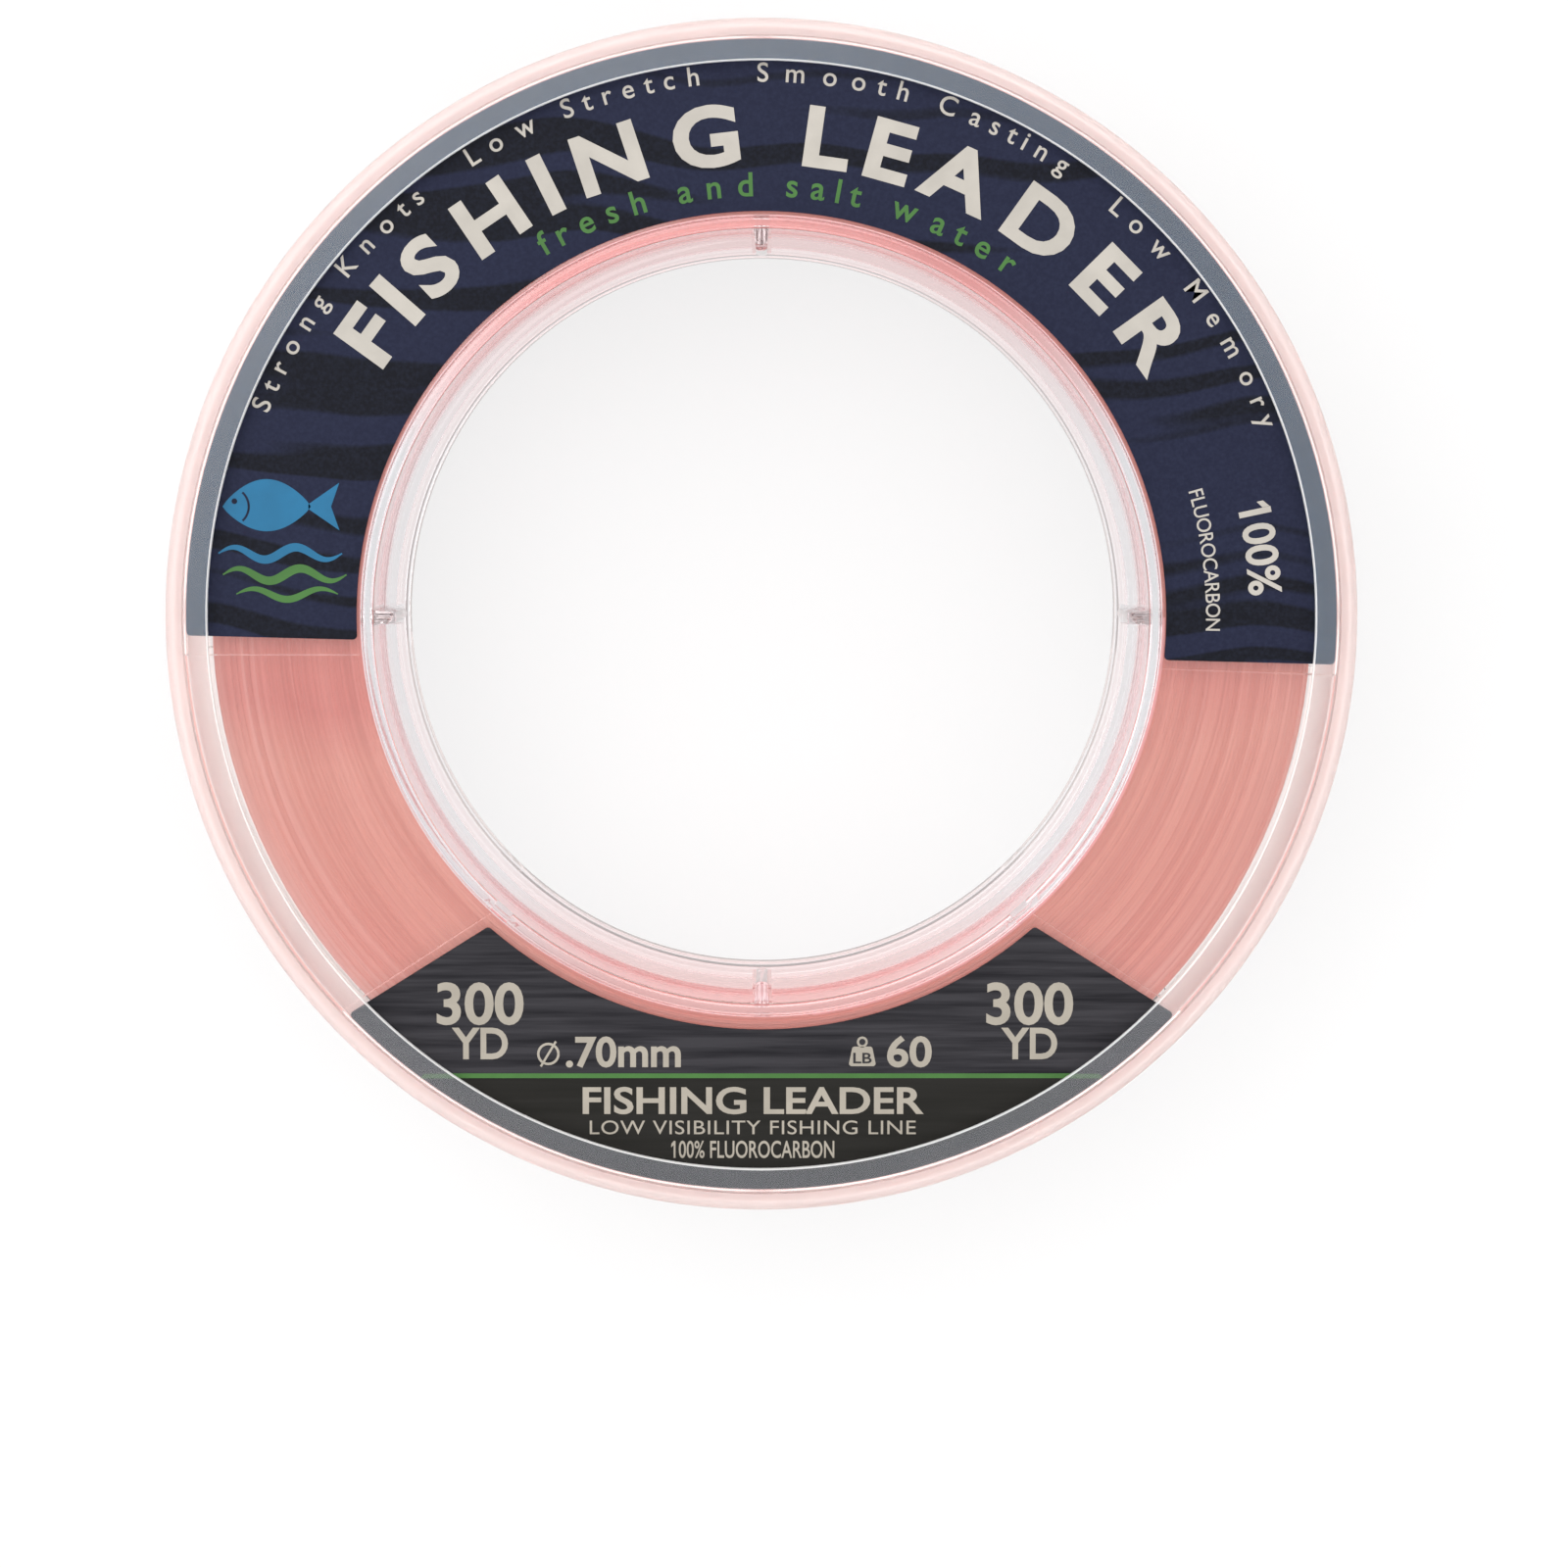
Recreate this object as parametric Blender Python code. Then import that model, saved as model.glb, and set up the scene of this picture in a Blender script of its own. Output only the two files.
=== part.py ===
"""A leader-wheel fishing line spool.

Two clear halves meet in a half-lap joint inside the hub, the line is wound between their flanges,
printed labels lie in shallow recesses on both faces, and a frosted two-part cover closes the rim.

Metres, +Z up. The spool lies flat: +Z is its axis and points out of the front face, +Y is the top of
the front labels, and the origin is the centre of the rear face, on the surface that it lies on.
"""

import math

import bmesh
import bpy

MM = 0.001

# Driving dimensions.
OUTER_RADIUS = 67.5 * MM
WIDTH = 28.4 * MM
BORE_RADIUS = 43.9 * MM
LINE_RADIUS = 62.5 * MM
SEGMENTS = 72

# Clearances. The pieces of one body touch in reality and keep a small gap here.
TOUCH = 0.3 * MM
LABEL_GAP = 0.1 * MM

# Frosted cover: a lip over each face and a skirt round the rim.
LIP_THICKNESS = 1.0 * MM
LIP_RADIUS = 62.7 * MM
SKIRT_WALL = 0.8 * MM
REAR_INSET = 0.35 * MM
TONGUE_WALL = 0.5 * MM
TONGUE_GAP = 0.2 * MM
TONGUE_HEIGHT = 4.5 * MM
SHOULDER_DROP = 1.4 * MM
SHOULDER_CUT = 0.25 * MM
SEAM_Z = WIDTH / 2
CORNER = 0.9 * MM
CORNER_MIDDLE = 0.27 * MM
BEAD_COUNT = 4
BEAD_LENGTH = 6.4 * MM
BEAD_HEIGHT = 1.0 * MM
BEAD_GAP = 0.15 * MM
FRONT_BEAD_ANGLE = -83.4
REAR_BEAD_ANGLE = -128.4
EXIT_ANGLE = -112.5
EXIT_WIDTH = 2.0 * MM
EXIT_HEIGHT = 2.0 * MM

# Clear halves.
FLANGE_RADIUS = 65.5 * MM
FLANGE_THICKNESS = 1.6 * MM
SLEEVE_WALL = 1.1 * MM
COLLAR_RADIUS = 45.1 * MM
COLLAR_FOOT = 0.5 * MM
FILLET = 0.3 * MM
EDGE = 0.4 * MM
REAR_SLEEVE_TOP = 15.0 * MM
REAR_SLEEVE_RADII = (41.5 * MM, 42.2 * MM)
KEY_COUNT = 4
KEY_HEIGHT = 2.4 * MM
KEY_ROOT = 1.8 * MM
KEY_TIP = 1.2 * MM
KEY_LENGTH = 19.0 * MM
KEY_POINT = 3.0 * MM
KEY_POINT_SCALE = 0.2
KEY_CHAMFER = 1.6 * MM
KEY_DEPTH_IN_WALL = 0.4 * MM
KEYWAY_WIDTH = 2.2 * MM
NOTCH_ANGLES = (228.5, 311.5)
NOTCH_WIDTH = 2.4 * MM
NOTCH_DEPTH = 0.5 * MM
CUT_OVERLAP = 1.0 * MM
SHARP_ANGLE = 30

# Label recesses, and the labels that lie in them. Angles are degrees from +X.
RECESS_DEPTH = 0.4 * MM
RECESS_RADIUS = 45.6 * MM
LABEL_THICKNESS = 0.2 * MM
LABEL_CORNER = 0.6 * MM
LABEL_RADIUS = 65.2 * MM
UPPER_LABEL_RADIUS = 45.9 * MM
UPPER_LABEL_ANGLES = (-6.0, 183.1)
UPPER_LABEL_FLARE = -1.35
UPPER_RECESS_ANGLES = (-7.2, 185.2)
UPPER_RECESS_FLARE = -1.7
LOWER_LABEL_RADIUS = 46.9 * MM
LOWER_LABEL_ANGLES = (228.5, 311.5)
LOWER_LABEL_FLARE = 4.7
LOWER_RECESS_MARGIN = 0.9

# Line and the tape that holds its end.
TAPE_THICKNESS = 0.15 * MM
TAPE_WIDTH = 5.0 * MM
TAPE_Z = 5.0 * MM
TAPE_FIRST_FACET = -19
TAPE_FACETS = 2

# Levels that follow from these.
FLANGE_FACE = LIP_THICKNESS + TOUCH
FLANGE_BACK = FLANGE_FACE + FLANGE_THICKNESS
BARREL_RADIUS = BORE_RADIUS + SLEEVE_WALL
REAR_SLEEVE_OUTER = BORE_RADIUS - TOUCH
REAR_SKIRT_RADIUS = OUTER_RADIUS - REAR_INSET
FRONT_SKIRT_BORE = OUTER_RADIUS - SKIRT_WALL
TONGUE_RADIUS = FRONT_SKIRT_BORE - TONGUE_GAP
REAR_SKIRT_BORE = TONGUE_RADIUS - TONGUE_WALL
COLLAR_TOP = WIDTH - TOUCH
KEY_FRONT = COLLAR_TOP - TOUCH
KEY_END = KEY_FRONT - KEY_LENGTH
RECESS_FLOOR = FLANGE_FACE + RECESS_DEPTH


def clear_scene():
    for old in list(bpy.data.objects):
        bpy.data.objects.remove(old)


def material(name, colour, roughness, alpha=1.0, transmission=0.0):
    made = bpy.data.materials.new(name)
    made.use_nodes = True
    shader = made.node_tree.nodes["Principled BSDF"]
    shader.inputs["Base Color"].default_value = (*colour, 1.0)
    shader.inputs["Roughness"].default_value = roughness
    shader.inputs["Metallic"].default_value = 0.0
    shader.inputs["Alpha"].default_value = alpha
    shader.inputs["Transmission Weight"].default_value = transmission
    return made


def mesh_object(name, bm, finish=None, smooth=True):
    """Links the bmesh as an object, with its faces turned outwards."""
    bmesh.ops.recalc_face_normals(bm, faces=bm.faces[:])
    mesh = bpy.data.meshes.new(name)
    bm.to_mesh(mesh)
    bm.free()
    made = bpy.data.objects.new(name, mesh)
    bpy.context.scene.collection.objects.link(made)
    if finish:
        mesh.materials.append(finish)
    if smooth:
        mesh.shade_smooth()
        mesh.set_sharp_from_angle(angle=math.radians(SHARP_ANGLE))
    return made


def polar(radius, degrees):
    angle = math.radians(degrees)
    return radius * math.cos(angle), radius * math.sin(angle)


def turned(name, profile, finish):
    """A closed profile of (radius, z) points, turned all the way round the Z axis."""
    bm = bmesh.new()
    rings = []
    for step in range(SEGMENTS):
        angle = 360 * step / SEGMENTS
        rings.append([bm.verts.new((*polar(r, angle), z)) for r, z in profile])
    for step in range(SEGMENTS):
        here, there = rings[step], rings[(step + 1) % SEGMENTS]
        for k in range(len(profile)):
            n = (k + 1) % len(profile)
            bm.faces.new((here[k], there[k], there[n], here[n]))
    return mesh_object(name, bm, finish)


def prism(name, outline, low, high, finish=None):
    """A flat outline of (x, y) points, extruded from low to high along Z."""
    bm = bmesh.new()
    face = bm.faces.new([bm.verts.new((x, y, low)) for x, y in outline])
    grown = bmesh.ops.extrude_face_region(bm, geom=[face])["geom"]
    top = [v for v in grown if isinstance(v, bmesh.types.BMVert)]
    bmesh.ops.translate(bm, verts=top, vec=(0, 0, high - low))
    return mesh_object(name, bm, finish, smooth=False)


def arc(radius, start, end, step=4.0):
    """Points along an arc, both ends included."""
    count = max(1, math.ceil(abs(end - start) / step))
    return [polar(radius, start + (end - start) * i / count) for i in range(count + 1)]


def rounded(outline, corners, radius):
    """The outline with a round of the given radius at each listed corner."""
    made = []
    for i, (x, y) in enumerate(outline):
        if i not in corners:
            made.append((x, y))
            continue
        before, after = outline[i - 1], outline[(i + 1) % len(outline)]
        ends = []
        for other in (before, after):
            dx, dy = other[0] - x, other[1] - y
            reach = math.hypot(dx, dy)
            trim = min(radius, reach / 2)
            ends.append((x + dx / reach * trim, y + dy / reach * trim))
        for t in (0.0, 1 / 3, 2 / 3, 1.0):
            a, b, c = (1 - t) ** 2, 2 * t * (1 - t), t ** 2
            made.append((a * ends[0][0] + b * x + c * ends[1][0], a * ends[0][1] + b * y + c * ends[1][1]))
    return made


def band_outline(inner, outer, angles, flare=0.0, corner=0.0):
    """An arc band. flare turns each end's outer corner further out than its inner corner, in degrees."""
    start, end = angles
    far = arc(outer, start - flare, end + flare)
    near = arc(inner, end, start)
    outline = far + near
    if not corner:
        return outline
    corners = (0, len(far) - 1, len(far), len(outline) - 1)
    return rounded(outline, corners, corner)


def cut(target, cutter, operation="DIFFERENCE"):
    """Adds a Boolean to target and hides the cutter."""
    change = target.modifiers.new(cutter.name, "BOOLEAN")
    change.operation = operation
    change.object = cutter
    cutter.hide_render = True
    cutter.display_type = "WIRE"


def block(name, angle, near, far, width, low, high):
    """A box that lies along the radius at the given angle, from near to far."""
    half = width / 2
    c, s = polar(1.0, angle)
    outline = [(r * c - side * s, r * s + side * c) for r, side in
               ((near, -half), (far, -half), (far, half), (near, half))]
    return prism(name, outline, low, high)


def locking_key(angle, name):
    """A tapered rib on the bore, chamfered at the rim and pointed at its inner end."""
    neck = KEY_END + KEY_POINT
    crest = BORE_RADIUS - KEY_HEIGHT
    root = BORE_RADIUS + KEY_DEPTH_IN_WALL
    body = [(root, KEY_FRONT), (root, neck), (crest, neck), (crest, KEY_FRONT - KEY_CHAMFER)]
    point = [(root, KEY_END), (crest, KEY_END)]
    slope = (KEY_ROOT - KEY_TIP) / KEY_HEIGHT
    c, s = polar(1.0, angle)
    bm = bmesh.new()

    def corners(side, outline, scale):
        made = []
        for r, z in outline:
            t = side * scale * (KEY_TIP + slope * (r - crest)) / 2
            made.append(bm.verts.new((r * c - t * s, r * s + t * c, z)))
        return made

    flanks = []
    for side in (-1, 1):
        shank = corners(side, body, 1.0)
        end = corners(side, point, KEY_POINT_SCALE)
        bm.faces.new(shank)
        bm.faces.new((shank[1], end[0], end[1]))
        bm.faces.new((shank[1], end[1], shank[2]))
        flanks.append(shank[:2] + end + shank[2:])
    left, right = flanks
    for k in range(len(left)):
        n = (k + 1) % len(left)
        bm.faces.new((left[k], left[n], right[n], right[k]))
    return mesh_object(name, bm, smooth=False)


def half_profile(sleeve, rim):
    """The flange and collar that both halves share. z is measured from the half's own face."""
    face, back = FLANGE_FACE, FLANGE_BACK
    return sleeve + [
        (FLANGE_RADIUS - EDGE, back),
        (FLANGE_RADIUS, back - EDGE),
        (FLANGE_RADIUS, face + EDGE),
        (FLANGE_RADIUS - EDGE, face),
        (COLLAR_RADIUS + COLLAR_FOOT, face),
        (COLLAR_RADIUS, face - FILLET),
        (COLLAR_RADIUS, TOUCH + FILLET),
        (COLLAR_RADIUS - FILLET, TOUCH),
    ] + rim


def flip(profile):
    """The same profile measured from the front face."""
    return [(r, WIDTH - z) for r, z in profile]


def recess(half, side, low, high):
    """Cuts the two label recesses into a half's outer face. They are in line on both faces."""
    upper = band_outline(RECESS_RADIUS, OUTER_RADIUS, UPPER_RECESS_ANGLES, UPPER_RECESS_FLARE)
    start, end = LOWER_LABEL_ANGLES
    wider = (start - LOWER_RECESS_MARGIN, end + LOWER_RECESS_MARGIN)
    lower = band_outline(RECESS_RADIUS, OUTER_RADIUS, wider, LOWER_LABEL_FLARE)
    cut(half, prism(side + "_upper_recess", upper, low, high))
    cut(half, prism(side + "_lower_recess", lower, low, high))


def make_front_half(finish):
    """The half whose sleeve is the barrel that the line is wound on."""
    reach = WIDTH - FLANGE_BACK - TOUCH
    sleeve = [
        (BORE_RADIUS, reach),
        (BARREL_RADIUS, reach),
        (BARREL_RADIUS, FLANGE_BACK + FILLET),
        (BARREL_RADIUS + FILLET, FLANGE_BACK),
    ]
    rim = [(BORE_RADIUS + EDGE, TOUCH), (BORE_RADIUS, TOUCH + EDGE)]
    half = turned("spool_front_half", flip(half_profile(sleeve, rim)), finish)
    recess(half, "front", WIDTH - RECESS_FLOOR, WIDTH)
    for angle in NOTCH_ANGLES:
        notch = block("collar_notch_%d" % angle, angle, BORE_RADIUS - CUT_OVERLAP, RECESS_RADIUS,
                      NOTCH_WIDTH, COLLAR_TOP - NOTCH_DEPTH, WIDTH)
        cut(half, notch)
    for i in range(KEY_COUNT):
        cut(half, locking_key(360 * i / KEY_COUNT, "key_%d" % i), "UNION")
    return half


def make_rear_half(finish):
    """The half whose sleeve plugs into the front one, with a keyway for each key."""
    low, high = REAR_SLEEVE_RADII
    sleeve = [
        (high, REAR_SLEEVE_TOP),
        (REAR_SLEEVE_OUTER - FILLET, REAR_SLEEVE_TOP),
        (REAR_SLEEVE_OUTER, REAR_SLEEVE_TOP - FILLET),
        (REAR_SLEEVE_OUTER, FLANGE_BACK),
    ]
    rim = [(low + FILLET, TOUCH), (low, TOUCH + FILLET)]
    half = turned("spool_rear_half", half_profile(sleeve, rim), finish)
    recess(half, "rear", 0.0, RECESS_FLOOR)
    far = REAR_SLEEVE_OUTER + TOUCH / 2
    for i in range(KEY_COUNT):
        keyway = block("keyway_%d" % i, 360 * i / KEY_COUNT, low - CUT_OVERLAP, far,
                       KEYWAY_WIDTH, KEY_END - TOUCH, REAR_SLEEVE_TOP + CUT_OVERLAP)
        cut(half, keyway)
    return half


def add_beads(cover, first_angle, high, name):
    """Four catch beads inside the skirt, behind the flange's edge."""
    near = FLANGE_RADIUS + BEAD_GAP
    far = FRONT_SKIRT_BORE + TONGUE_GAP / 2
    half = math.degrees(BEAD_LENGTH / FLANGE_RADIUS) / 2
    for i in range(BEAD_COUNT):
        angle = first_angle + 360 * i / BEAD_COUNT
        outline = band_outline(near, far, (angle - half, angle + half))
        cut(cover, prism("%s_bead_%d" % (name, i), outline, high - BEAD_HEIGHT, high), "UNION")


def lip_profile(skirt, bore):
    """The lip and the outside corner of a cover, from the inner edge out. z is measured from the face."""
    return [
        (bore - CORNER / 2, LIP_THICKNESS),
        (LIP_RADIUS + EDGE, LIP_THICKNESS),
        (LIP_RADIUS, LIP_THICKNESS - EDGE),
        (LIP_RADIUS, EDGE),
        (LIP_RADIUS + EDGE, 0.0),
        (skirt - CORNER, 0.0),
        (skirt - CORNER_MIDDLE, CORNER_MIDDLE),
        (skirt, CORNER),
    ]


def make_front_cover(finish):
    profile = lip_profile(OUTER_RADIUS, FRONT_SKIRT_BORE) + [
        (OUTER_RADIUS, SEAM_Z),
        (FRONT_SKIRT_BORE, SEAM_Z),
        (FRONT_SKIRT_BORE, LIP_THICKNESS + CORNER / 2),
    ]
    cover = turned("cover_front_ring", flip(profile), finish)
    add_beads(cover, FRONT_BEAD_ANGLE, WIDTH - FLANGE_BACK - TOUCH, "front")
    cut(cover, block("front_exit", EXIT_ANGLE, FRONT_SKIRT_BORE - CUT_OVERLAP, OUTER_RADIUS + CUT_OVERLAP,
                     EXIT_WIDTH, SEAM_Z - CUT_OVERLAP, SEAM_Z + EXIT_HEIGHT))
    return cover


def make_rear_cover(finish):
    shoulder = SEAM_Z - TOUCH
    profile = lip_profile(REAR_SKIRT_RADIUS, REAR_SKIRT_BORE) + [
        (REAR_SKIRT_RADIUS, shoulder - SHOULDER_DROP),
        (REAR_SKIRT_RADIUS - SHOULDER_CUT, shoulder),
        (TONGUE_RADIUS, shoulder),
        (TONGUE_RADIUS, shoulder + TONGUE_HEIGHT),
        (REAR_SKIRT_BORE, shoulder + TONGUE_HEIGHT),
        (REAR_SKIRT_BORE, LIP_THICKNESS + CORNER / 2),
    ]
    cover = turned("cover_rear_ring", profile, finish)
    add_beads(cover, REAR_BEAD_ANGLE, FLANGE_BACK + TOUCH + BEAD_HEIGHT, "rear")
    cut(cover, block("rear_exit", EXIT_ANGLE, REAR_SKIRT_BORE - CUT_OVERLAP, OUTER_RADIUS + CUT_OVERLAP,
                     EXIT_WIDTH, SEAM_Z + TOUCH, SEAM_Z + 2 * TONGUE_HEIGHT))
    return cover


def make_line(finish):
    """The outer shape of the wound line, which fills the space between the flanges."""
    low, high = FLANGE_BACK + TOUCH, WIDTH - FLANGE_BACK - TOUCH
    profile = [
        (BARREL_RADIUS + TOUCH, low),
        (LINE_RADIUS - EDGE, low),
        (LINE_RADIUS, low + EDGE),
        (LINE_RADIUS, high - EDGE),
        (LINE_RADIUS - EDGE, high),
        (BARREL_RADIUS + TOUCH, high),
    ]
    return turned("line_winding", profile, finish)


def make_labels(side, upper_finish, lower_finish, low):
    """The upper and the lower label of one face."""
    upper = band_outline(UPPER_LABEL_RADIUS, LABEL_RADIUS, UPPER_LABEL_ANGLES,
                         UPPER_LABEL_FLARE, LABEL_CORNER)
    lower = band_outline(LOWER_LABEL_RADIUS, LABEL_RADIUS, LOWER_LABEL_ANGLES,
                         LOWER_LABEL_FLARE, LABEL_CORNER)
    high = low + LABEL_THICKNESS
    prism(side + "_upper_label", upper, low, high, upper_finish)
    prism(side + "_lower_label", lower, low, high, lower_finish)


def make_tape(finish):
    """A short strip over the end of the line, bent to the same facets as the line below it."""
    near = LINE_RADIUS + LABEL_GAP
    facet = 360 / SEGMENTS
    stops = [(TAPE_FIRST_FACET + i) * facet for i in range(TAPE_FACETS + 1)]
    outline = [polar(near + TAPE_THICKNESS, a) for a in stops]
    outline += [polar(near, a) for a in reversed(stops)]
    return prism("tag_end_tape", outline, TAPE_Z, TAPE_Z + TAPE_WIDTH, finish)


def main():
    clear_scene()
    clear = material("clear_styrene", (0.93, 0.93, 0.94), 0.08, alpha=0.35, transmission=0.9)
    frosted = material("frosted_polyethylene", (0.94, 0.90, 0.89), 0.45, alpha=0.6, transmission=0.5)
    line = material("pink_fluorocarbon", (0.82, 0.42, 0.38), 0.3)
    navy = material("navy_label_film", (0.03, 0.035, 0.07), 0.35)
    charcoal = material("charcoal_label_film", (0.04, 0.04, 0.05), 0.35)
    tape = material("grey_tape", (0.45, 0.45, 0.48), 0.4)

    make_front_half(clear)
    make_rear_half(clear)
    make_line(line)
    make_tape(tape)
    make_labels("front", navy, charcoal, WIDTH - RECESS_FLOOR + LABEL_GAP)
    make_labels("rear", navy, charcoal, RECESS_FLOOR - LABEL_GAP - LABEL_THICKNESS)
    make_front_cover(frosted)
    make_rear_cover(frosted)


main()
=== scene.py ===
"""Looks of a leader-wheel fishing line spool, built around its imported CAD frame.

Every CAD node is replaced by a finer piece in the same space: rounded clear and frosted mouldings, the
line as real turns of strand, and printed label film. Lengths are in metres.
"""
import math
import random

import bmesh
import bpy
from mathutils import Matrix, Vector, noise


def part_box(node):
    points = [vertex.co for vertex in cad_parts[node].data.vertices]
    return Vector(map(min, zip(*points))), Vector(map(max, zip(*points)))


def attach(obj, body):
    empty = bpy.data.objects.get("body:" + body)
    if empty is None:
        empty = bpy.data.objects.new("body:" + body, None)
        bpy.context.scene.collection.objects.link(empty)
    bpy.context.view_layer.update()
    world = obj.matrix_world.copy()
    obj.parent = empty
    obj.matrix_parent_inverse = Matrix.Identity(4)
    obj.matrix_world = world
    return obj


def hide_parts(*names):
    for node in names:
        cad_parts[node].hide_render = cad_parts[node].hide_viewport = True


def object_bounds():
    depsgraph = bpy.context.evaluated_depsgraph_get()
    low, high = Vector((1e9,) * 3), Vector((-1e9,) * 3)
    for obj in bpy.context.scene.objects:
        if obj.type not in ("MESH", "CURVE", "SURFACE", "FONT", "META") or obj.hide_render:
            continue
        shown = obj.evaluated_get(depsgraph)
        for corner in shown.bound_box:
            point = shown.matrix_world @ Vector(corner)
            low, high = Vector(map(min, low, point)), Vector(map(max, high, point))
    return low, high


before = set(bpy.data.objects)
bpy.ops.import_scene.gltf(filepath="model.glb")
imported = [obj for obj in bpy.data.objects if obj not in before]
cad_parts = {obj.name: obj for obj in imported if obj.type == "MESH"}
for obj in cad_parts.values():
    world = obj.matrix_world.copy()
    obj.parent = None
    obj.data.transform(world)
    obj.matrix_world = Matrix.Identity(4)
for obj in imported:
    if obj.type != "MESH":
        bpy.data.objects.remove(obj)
CAD_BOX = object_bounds()

MM = 0.001
SEGMENTS = 360

# Wall sizes that the frame's boxes don't give.
TOUCH = 0.3 * MM
LIP = 1.0 * MM
LIP_HOLE = 62.7 * MM
LIP_ROUND = 0.18 * MM
SKIRT_START = 65.6 * MM
FRONT_SKIRT = 0.8 * MM
REAR_TONGUE = 0.5 * MM
TONGUE_GAP = 0.2 * MM
TONGUE_STEP = 4.5 * MM
SHOULDER_SLOPE = (0.25 * MM, 1.4 * MM)  # in and up, on the rear ring below the seam
FLANGE = 1.6 * MM
SLEEVE = 1.1 * MM
BORE = 43.9 * MM
COLLAR = 45.1 * MM
PLUG_BORE = (41.5 * MM, 42.2 * MM)
RECESS = 0.4 * MM
RECESS_HOLE = 45.6 * MM
RECESS_LEAN = 0.7  # degrees, over the cut's whole height
UPPER_MARGINS = (1.2, 2.1)  # degrees from the upper label's two ends to its recess's walls
LOWER_MARGIN = 0.9
UPPER_RECESS_FLARE = -1.7
FINE_EDGE = 0.15 * MM
SOFT_EDGE = 0.35 * MM

# The line.
STRAND = 0.70 * MM
STRAND_SIDES = 6
CORE_RISE = 0.14 * MM  # the solid below the strands' crests, past their centres
LAYERS = 25
LAYER_STEPS = 120
EDGE_STEPS = 128
EDGE_TURN = 372  # degrees that a layer's turn runs along a flange, so that its two ends overlap
RISE_SHARE = 0.05  # of that turn, at each end, where it comes up from the layer and goes back
CLIMB_SHARE = 0.07  # of that turn, at its end, where it climbs to the next layer
EDGE_SINK = 0.9 * STRAND  # how deep the turn's two ends go
EDGE_DEPTH = 0.09 * MM
EDGE_WANDER = 0.05 * MM
OUTER_WANDER = 0.03 * MM
LAYER_NOISE = (0.9, 300)  # cycles in a turn, and in a metre of radius
EDGE_NOISE = (260, 2.2)  # cycles in a metre of radius, and in a turn
DEPTH_NOISE = 1.7  # how much faster the depth changes

# The tape.
TAPE = 0.15 * MM
TAPE_GAP = 0.1 * MM
TAPE_ROUND = 0.03 * MM

# Labels. Angles are degrees from +X, lengths along them are on the arc.
UPPER_HOLE = 45.9 * MM
UPPER_ENDS = (-6.0, 183.1)
UPPER_FLARE = -1.35
LOWER_HOLE = 46.9 * MM
LOWER_ENDS = (228.5, 311.5)
LOWER_FLARE = 4.7
LABEL_ROUND = 0.5 * MM
RULE_Y = -52.2 * MM
RULE_WIDTH = 0.54 * MM
INK = 0.02 * MM
CAP_SHARE = 0.682  # the height of a capital of the built-in font, of its size

# The faint blue of clear polystyrene.
STYRENE = (0.965, 0.972, 0.985)

# Catches, outlet and keys.
QUARTERS = (0, 90, 180, 270)
BEAD_ANGLES = {"front": -83.4, "rear": -128.4}
BEAD_LENGTH = 6.4 * MM
BEAD_HEIGHT = 1.0 * MM
BEAD_GAP = 0.15 * MM
BEAD_ROUND = 0.18 * MM
OUTLET_ANGLE = -112.5
OUTLET = 2.0 * MM
KEY_HEIGHT = 2.4 * MM
KEY_ROOT = 1.8 * MM
KEY_TIP = 1.2 * MM
KEY_LENGTH = 19.0 * MM
KEY_POINT = 3.0 * MM
KEY_CHAMFER = 1.6 * MM
KEY_POINT_STEPS = (0.35, 0.6, 0.8, 0.92, 0.985)  # shares of the point's length
KEY_IN_WALL = 0.4 * MM
CREST_ROUND = 0.15 * MM
CREST_FLAT = 0.6  # the width left on the crest, of the tip's
CREST_SHARE = 0.08  # how far from tip to root in width the rounding starts
KEYWAY = 2.2 * MM
NOTCH_ANGLES = (228.5, 311.5)
NOTCH_WIDTH = 2.4 * MM
NOTCH_DEPTH = 0.5 * MM

# The stage.
CAMERA_SIDE = 2.56 * MM
CAMERA_UP = 18.66 * MM
CAMERA_HEIGHT = 584.2 * MM  # above the front face
CAMERA_TILT = -3.667  # degrees
LENS = 118.6  # in millimetres, as the sensor's width
SENSOR = 36.0
FLOOR_SIZE = 2.0
FLOOR_GAP = 0.05 * MM
SOFTBOX_PLACE = (-0.35, 0.45, 0.75)
SOFTBOX_SIZE = 1.2
SOFTBOX_POWER = 6.0


def level(name):
    """The lowest and the highest z of a CAD node."""
    low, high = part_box(name)
    return low.z, high.z


def reach(name):
    """A turned CAD node's outer radius."""
    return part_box(name)[1].x


WIDTH = CAD_BOX[1][2]
RIM = reach("cover_front_ring")
REAR_RIM = reach("cover_rear_ring")
FLANGE_RIM = reach("spool_front_half")
LINE_LOW, LINE_HIGH = level("line_winding")
LINE_RIM = reach("line_winding")
SEAM = level("cover_front_ring")[0]
COLLAR_TOP = level("spool_front_half")[1]
SLEEVE_END = level("spool_front_half")[0]
PLUG_TOP = level("spool_rear_half")[1]
FLANGE_FACE = LINE_LOW - TOUCH - FLANGE
BARREL = BORE + SLEEVE


# Mesh helpers.

def polar(radius, degrees):
    """A point's x and y from its radius and its angle from +X."""
    angle = math.radians(degrees)
    return radius * math.cos(angle), radius * math.sin(angle)


def arc(radius, start, end, steps=None):
    """Points along an arc, both ends included, a degree apart unless the number of steps is given."""
    count = steps or math.ceil(abs(end - start))
    return [polar(radius, start + (end - start) * i / count) for i in range(count + 1)]


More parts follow.
